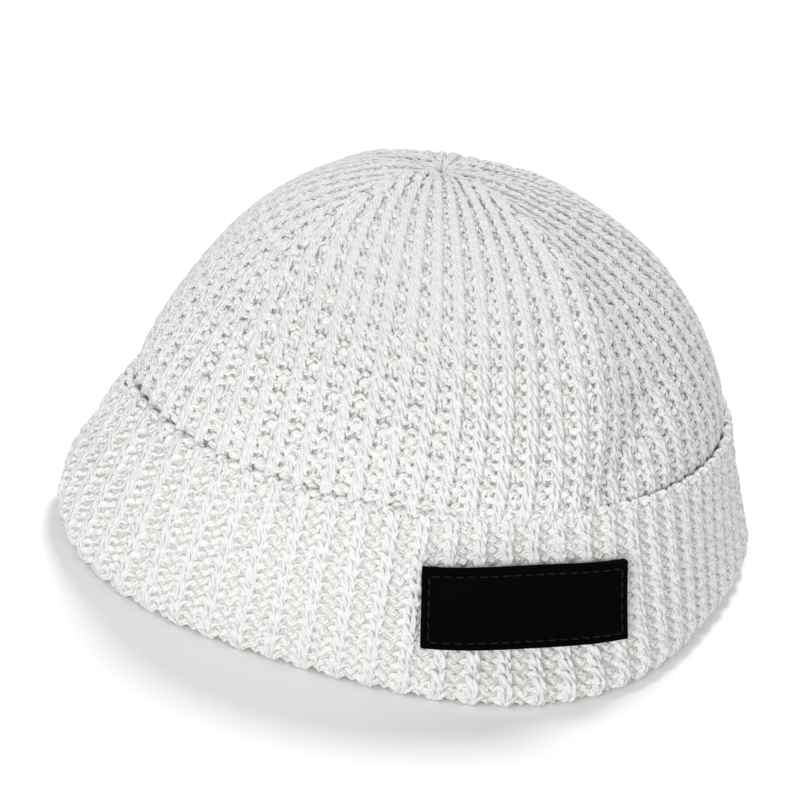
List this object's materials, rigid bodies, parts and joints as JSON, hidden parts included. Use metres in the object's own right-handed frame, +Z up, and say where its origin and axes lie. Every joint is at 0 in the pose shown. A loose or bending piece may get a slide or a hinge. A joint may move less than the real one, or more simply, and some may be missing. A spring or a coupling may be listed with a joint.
{
  "type": "watch cap",
  "caption": "Close-fitting rib-knit watch cap with a rounded crown drawn together at the top, a turned-up cuff and a plain rectangular patch on the cuff.",
  "frame": {"origin": "on the floor that the cap stands on, under the middle of its bounding box", "axes": "+Z up through the crown, -Y towards the viewer's side of the cap, where the cuff's left half and the patch show, +X to the viewer's right"},
  "size_m": [0.2044, 0.1924, 0.1193],
  "materials": {
    "white_knit": "matte, thick cotton-like yarn knitted in 1 by 1 rib",
    "black_patch": "matte, fine-grained, with a line of stitching along its edge"
  },
  "bodies": {
    "root": {"knit_shell": "white_knit", "patch": "black_patch"}
  },
  "joints": []
}
